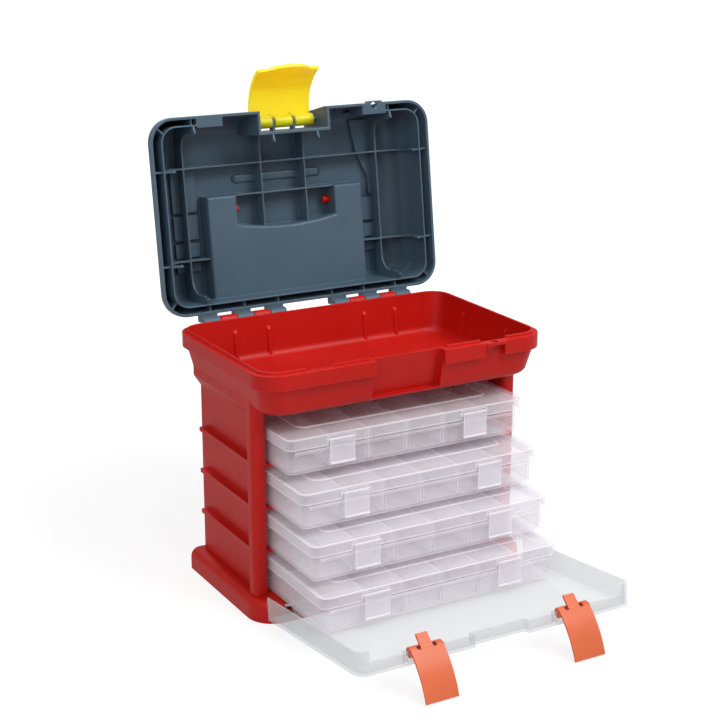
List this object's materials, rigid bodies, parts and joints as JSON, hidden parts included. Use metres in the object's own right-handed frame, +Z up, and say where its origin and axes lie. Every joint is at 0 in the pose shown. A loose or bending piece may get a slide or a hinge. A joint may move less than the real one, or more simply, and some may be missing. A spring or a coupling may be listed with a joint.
{
  "type": "art supply box",
  "caption": "Carry box for art and craft supplies: open bin under a hinged lid, stacked clear organizer trays that slide out below, and a clear front that drops down.",
  "frame": {"origin": "middle of the base underside, on the surface that the box stands on", "axes": "+Z up, the front with the trays faces -Y, +X to the right seen from the front"},
  "size_m": [0.282, 0.4198, 0.4407],
  "materials": {
    "red_plastic": "satin",
    "grey_plastic": "satin",
    "yellow_plastic": "gloss",
    "orange_plastic": "gloss",
    "clear_plastic": "clear",
    "steel": "plain"
  },
  "bodies": {
    "cabinet": {"top_bin": "red_plastic", "side_panel_left": "red_plastic", "side_panel_right": "red_plastic", "back_panel": "red_plastic", "base_plate": "red_plastic", "bin_screws": "steel", "base_screws": "steel", "lid_hinge_pins": "steel", "door_hinge_pin": "steel"},
    "lid": {"lid_shell": "grey_plastic", "lid_latch_pin": "steel"},
    "lid_latch": {"lid_latch": "yellow_plastic"},
    "carry_handle": {"carry_handle": "red_plastic"},
    "front_door": {"front_door": "clear_plastic"},
    "door_latch_left": {"door_latch_left": "orange_plastic"},
    "door_latch_right": {"door_latch_right": "orange_plastic"},
    "tray_1": {"tray_1_box": "clear_plastic", "tray_1_dividers": "clear_plastic"},
    "tray_1_lid": {"tray_1_lid": "clear_plastic"},
    "tray_1_latch_left": {"tray_1_latch_left": "clear_plastic"},
    "tray_1_latch_right": {"tray_1_latch_right": "clear_plastic"},
    "tray_2": {"tray_2_box": "clear_plastic", "tray_2_dividers": "clear_plastic"},
    "tray_2_lid": {"tray_2_lid": "clear_plastic"},
    "tray_2_latch_left": {"tray_2_latch_left": "clear_plastic"},
    "tray_2_latch_right": {"tray_2_latch_right": "clear_plastic"},
    "tray_3": {"tray_3_box": "clear_plastic", "tray_3_dividers": "clear_plastic"},
    "tray_3_lid": {"tray_3_lid": "clear_plastic"},
    "tray_3_latch_left": {"tray_3_latch_left": "clear_plastic"},
    "tray_3_latch_right": {"tray_3_latch_right": "clear_plastic"},
    "tray_4": {"tray_4_box": "clear_plastic", "tray_4_dividers": "clear_plastic"},
    "tray_4_lid": {"tray_4_lid": "clear_plastic"},
    "tray_4_latch_left": {"tray_4_latch_left": "clear_plastic"},
    "tray_4_latch_right": {"tray_4_latch_right": "clear_plastic"}
  },
  "joints": [
    {"name": "lid_hinge", "type": "hinge", "parent": "cabinet", "child": "lid", "pos_m": [0, 0.0946, 0.2205], "axis": [-1, 0, 0], "range_deg": [-97.8, 0]},
    {"name": "lid_latch_hinge", "type": "hinge", "parent": "lid", "child": "lid_latch", "pos_m": [0, 0.14567, 0.3863], "axis": [-1, 0, 0], "range_deg": [-62, 0]},
    {"name": "handle_hinge", "type": "hinge", "parent": "lid", "child": "carry_handle", "pos_m": [0, 0.15034, 0.30835], "axis": [1, 0, 0], "range_deg": [-7.8, 82.2]},
    {"name": "door_hinge", "type": "hinge", "parent": "cabinet", "child": "front_door", "pos_m": [0, -0.068, 0.014], "axis": [-1, 0, 0], "range_deg": [0, 1.5]},
    {"name": "door_latch_left_hinge", "type": "hinge", "parent": "front_door", "child": "door_latch_left", "pos_m": [-0.07, -0.22481, 0.03355], "axis": [-1, 0, 0], "range_deg": [0, 100]},
    {"name": "door_latch_right_hinge", "type": "hinge", "parent": "front_door", "child": "door_latch_right", "pos_m": [0.07, -0.22481, 0.03355], "axis": [-1, 0, 0], "range_deg": [0, 100]},
    {"name": "tray_1_slide", "type": "slide", "parent": "cabinet", "child": "tray_1", "axis": [0, -1, 0], "range_m": [-0.017, 0.058]},
    {"name": "tray_1_lid_hinge", "type": "hinge", "parent": "tray_1", "child": "tray_1_lid", "pos_m": [0, 0.0398, 0.159], "axis": [-1, 0, 0], "range_deg": [0, 2.5]},
    {"name": "tray_1_latch_left_hinge", "type": "hinge", "parent": "tray_1_lid", "child": "tray_1_latch_left", "pos_m": [-0.065, -0.0848, 0.161], "axis": [-1, 0, 0], "range_deg": [0, 100]},
    {"name": "tray_1_latch_right_hinge", "type": "hinge", "parent": "tray_1_lid", "child": "tray_1_latch_right", "pos_m": [0.065, -0.0848, 0.161], "axis": [-1, 0, 0], "range_deg": [0, 100]},
    {"name": "tray_2_slide", "type": "slide", "parent": "cabinet", "child": "tray_2", "axis": [0, -1, 0], "range_m": [-0.041, 0.034]},
    {"name": "tray_2_lid_hinge", "type": "hinge", "parent": "tray_2", "child": "tray_2_lid", "pos_m": [0, 0.0158, 0.1205], "axis": [-1, 0, 0], "range_deg": [0, 2.5]},
    {"name": "tray_2_latch_left_hinge", "type": "hinge", "parent": "tray_2_lid", "child": "tray_2_latch_left", "pos_m": [-0.065, -0.1088, 0.1225], "axis": [-1, 0, 0], "range_deg": [0, 100]},
    {"name": "tray_2_latch_right_hinge", "type": "hinge", "parent": "tray_2_lid", "child": "tray_2_latch_right", "pos_m": [0.065, -0.1088, 0.1225], "axis": [-1, 0, 0], "range_deg": [0, 100]},
    {"name": "tray_3_slide", "type": "slide", "parent": "cabinet", "child": "tray_3", "axis": [0, -1, 0], "range_m": [-0.059, 0.016]},
    {"name": "tray_3_lid_hinge", "type": "hinge", "parent": "tray_3", "child": "tray_3_lid", "pos_m": [0, -0.0022, 0.082], "axis": [-1, 0, 0], "range_deg": [0, 2.5]},
    {"name": "tray_3_latch_left_hinge", "type": "hinge", "parent": "tray_3_lid", "child": "tray_3_latch_left", "pos_m": [-0.065, -0.1268, 0.084], "axis": [-1, 0, 0], "range_deg": [0, 100]},
    {"name": "tray_3_latch_right_hinge", "type": "hinge", "parent": "tray_3_lid", "child": "tray_3_latch_right", "pos_m": [0.065, -0.1268, 0.084], "axis": [-1, 0, 0], "range_deg": [0, 100]},
    {"name": "tray_4_slide", "type": "slide", "parent": "cabinet", "child": "tray_4", "axis": [0, -1, 0], "range_m": [-0.075, 0]},
    {"name": "tray_4_lid_hinge", "type": "hinge", "parent": "tray_4", "child": "tray_4_lid", "pos_m": [0, -0.0182, 0.0435], "axis": [-1, 0, 0], "range_deg": [0, 2.5]},
    {"name": "tray_4_latch_left_hinge", "type": "hinge", "parent": "tray_4_lid", "child": "tray_4_latch_left", "pos_m": [-0.065, -0.1428, 0.0455], "axis": [-1, 0, 0], "range_deg": [0, 100]},
    {"name": "tray_4_latch_right_hinge", "type": "hinge", "parent": "tray_4_lid", "child": "tray_4_latch_right", "pos_m": [0.065, -0.1428, 0.0455], "axis": [-1, 0, 0], "range_deg": [0, 100]}
  ]
}
